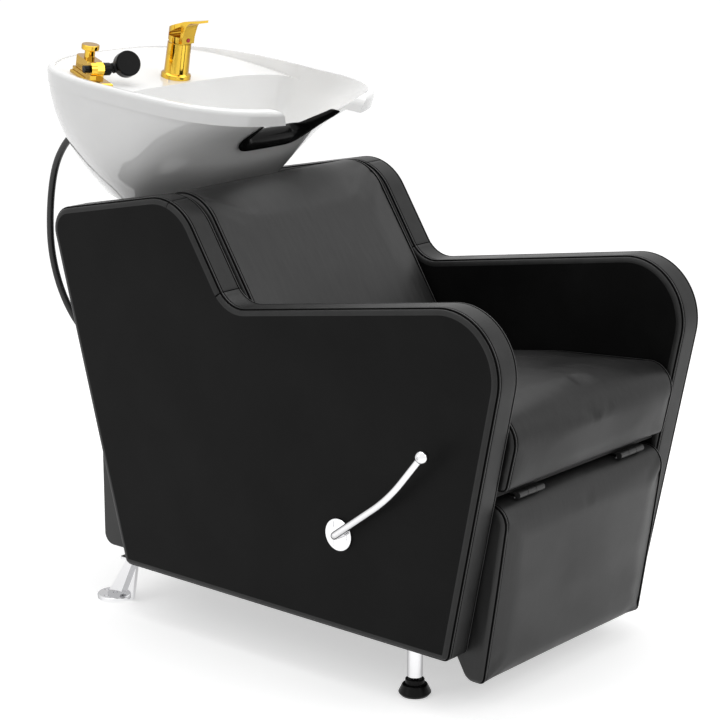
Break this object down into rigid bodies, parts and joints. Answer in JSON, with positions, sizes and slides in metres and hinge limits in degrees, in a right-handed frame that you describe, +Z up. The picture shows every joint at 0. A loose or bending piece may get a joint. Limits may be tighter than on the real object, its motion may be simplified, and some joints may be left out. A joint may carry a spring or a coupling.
{
  "type": "hair washing chair",
  "caption": "Padded salon chair with arms, a tilting ceramic wash basin with neck notch and mixer behind its back, and a leg rest raised by a side lever.",
  "frame": {"origin": "on the floor, on the mid-plane, midway between the flange centres of the two rear feet", "axes": "+Z up, the sitter faces -Y, +X to the sitter's left when seated, and the lever is on the -X side"},
  "size_m": [0.6483, 1.2223, 1.0913],
  "materials": {
    "black_vinyl": "satin",
    "plywood": "matte",
    "black_board": "matte",
    "black_steel": "satin",
    "black_casing": "satin",
    "zinc_steel": "satin",
    "chrome": "polished",
    "white_ceramic": "gloss",
    "gold": "polished",
    "black_rubber": "satin",
    "black_gloss": "gloss",
    "nylon": "matte",
    "index_mark": "gloss"
  },
  "bodies": {
    "chair": {"side_panel_left": "black_vinyl", "side_panel_right": "black_vinyl", "seat_cushion": "black_vinyl", "seat_board": "black_board", "seat_rails": "plywood", "back_cushion": "black_vinyl", "back_board": "black_board", "back_cleats": "plywood", "front_crossbar": "black_steel", "rear_crossbar": "black_steel", "basin_post": "black_steel", "fork_plates": "black_steel", "pivot_bolts": "zinc_steel", "rear_cover": "black_casing", "rear_foot_left": "chrome", "rear_foot_right": "chrome", "front_legs": "chrome", "seat_hinge_leaves": "black_steel", "legrest_hinge_pins": "black_steel", "shaft_bushes": "nylon"},
    "legrest": {"legrest_pad": "black_vinyl", "legrest_board": "black_board", "legrest_hinge_leaves": "black_steel", "legrest_brackets": "zinc_steel", "legrest_link_pins": "zinc_steel"},
    "lever": {"lever_shaft": "zinc_steel", "lever_cranks": "zinc_steel", "crank_pins": "zinc_steel", "lever_handle": "chrome", "lever_plate_screws": "chrome", "lever_ball": "chrome", "lever_grub_screw": "zinc_steel"},
    "push_rod_left": {"push_rod_left": "zinc_steel"},
    "push_rod_right": {"push_rod_right": "zinc_steel"},
    "bowl": {"wash_basin": "white_ceramic", "neck_rest": "black_gloss", "basin_cradle": "black_steel", "cradle_gasket": "black_rubber", "drain_strainer": "chrome", "drain_washer": "black_rubber", "drain_nut": "gold", "drain_tailpiece": "chrome", "drain_slip_nut": "zinc_steel", "faucet_body": "gold", "faucet_nut": "gold", "faucet_inlets": "gold", "hose_guide": "gold", "breaker_cap": "gold", "guide_outlet_nut": "gold", "guide_shank_nut": "gold", "shower_hose": "black_rubber"},
    "faucet_stem": {"faucet_stem": "gold"},
    "faucet_handle": {"faucet_handle": "gold", "handle_index": "index_mark", "faucet_lift_pin": "gold"},
    "sprayer": {"sprayer_collar": "black_gloss", "sprayer_head": "black_gloss", "sprayer_face": "black_gloss"},
    "glide_left": {"glide_left": "black_gloss"},
    "glide_right": {"glide_right": "black_gloss"}
  },
  "joints": [
    {"name": "bowl_tilt", "type": "hinge", "parent": "chair", "child": "bowl", "pos_m": [0, -0.02, 0.716], "axis": [-1, 0, 0], "range_deg": [0, 10]},
    {"name": "legrest_lift", "type": "hinge", "parent": "chair", "child": "legrest", "pos_m": [0, -0.915, 0.38], "axis": [-1, 0, 0], "range_deg": [0, 90]},
    {"name": "lever_turn", "type": "hinge", "parent": "chair", "child": "lever", "pos_m": [-0.3, -0.622, 0.277], "axis": [-1, 0, 0], "range_deg": [0, 90]},
    {"name": "push_rod_left_swing", "type": "hinge", "parent": "lever", "child": "push_rod_left", "pos_m": [-0.156, -0.531, 0.197], "axis": [-1, 0, 0], "range_deg": [-90, 0]},
    {"name": "push_rod_right_swing", "type": "hinge", "parent": "lever", "child": "push_rod_right", "pos_m": [0.156, -0.531, 0.197], "axis": [-1, 0, 0], "range_deg": [-90, 0]},
    {"name": "faucet_swivel", "type": "hinge", "parent": "bowl", "child": "faucet_stem", "pos_m": [0, 0.03963, 1.0468], "axis": [0, -0.1822, 0.9833], "range_deg": [-45, 45]},
    {"name": "faucet_lift", "type": "hinge", "parent": "faucet_stem", "child": "faucet_handle", "pos_m": [0, 0.03891, 1.05074], "axis": [-1, 0, 0], "range_deg": [0, 18]},
    {"name": "sprayer_pull", "type": "slide", "parent": "bowl", "child": "sprayer", "axis": [0.9455, -0.3201, -0.0593], "range_m": [0, 0.035]},
    {"name": "glide_left_turn", "type": "hinge", "parent": "chair", "child": "glide_left", "pos_m": [-0.247, -0.748, 0], "axis": [0, 0, 1], "continuous": true},
    {"name": "glide_right_turn", "type": "hinge", "parent": "chair", "child": "glide_right", "pos_m": [0.247, -0.748, 0], "axis": [0, 0, 1], "continuous": true}
  ],
  "couplings": [
    {"joint": "lever_turn", "follows": "legrest_lift", "ratio": 1},
    {"joint": "push_rod_left_swing", "follows": "legrest_lift", "ratio": -1},
    {"joint": "push_rod_right_swing", "follows": "legrest_lift", "ratio": -1}
  ]
}
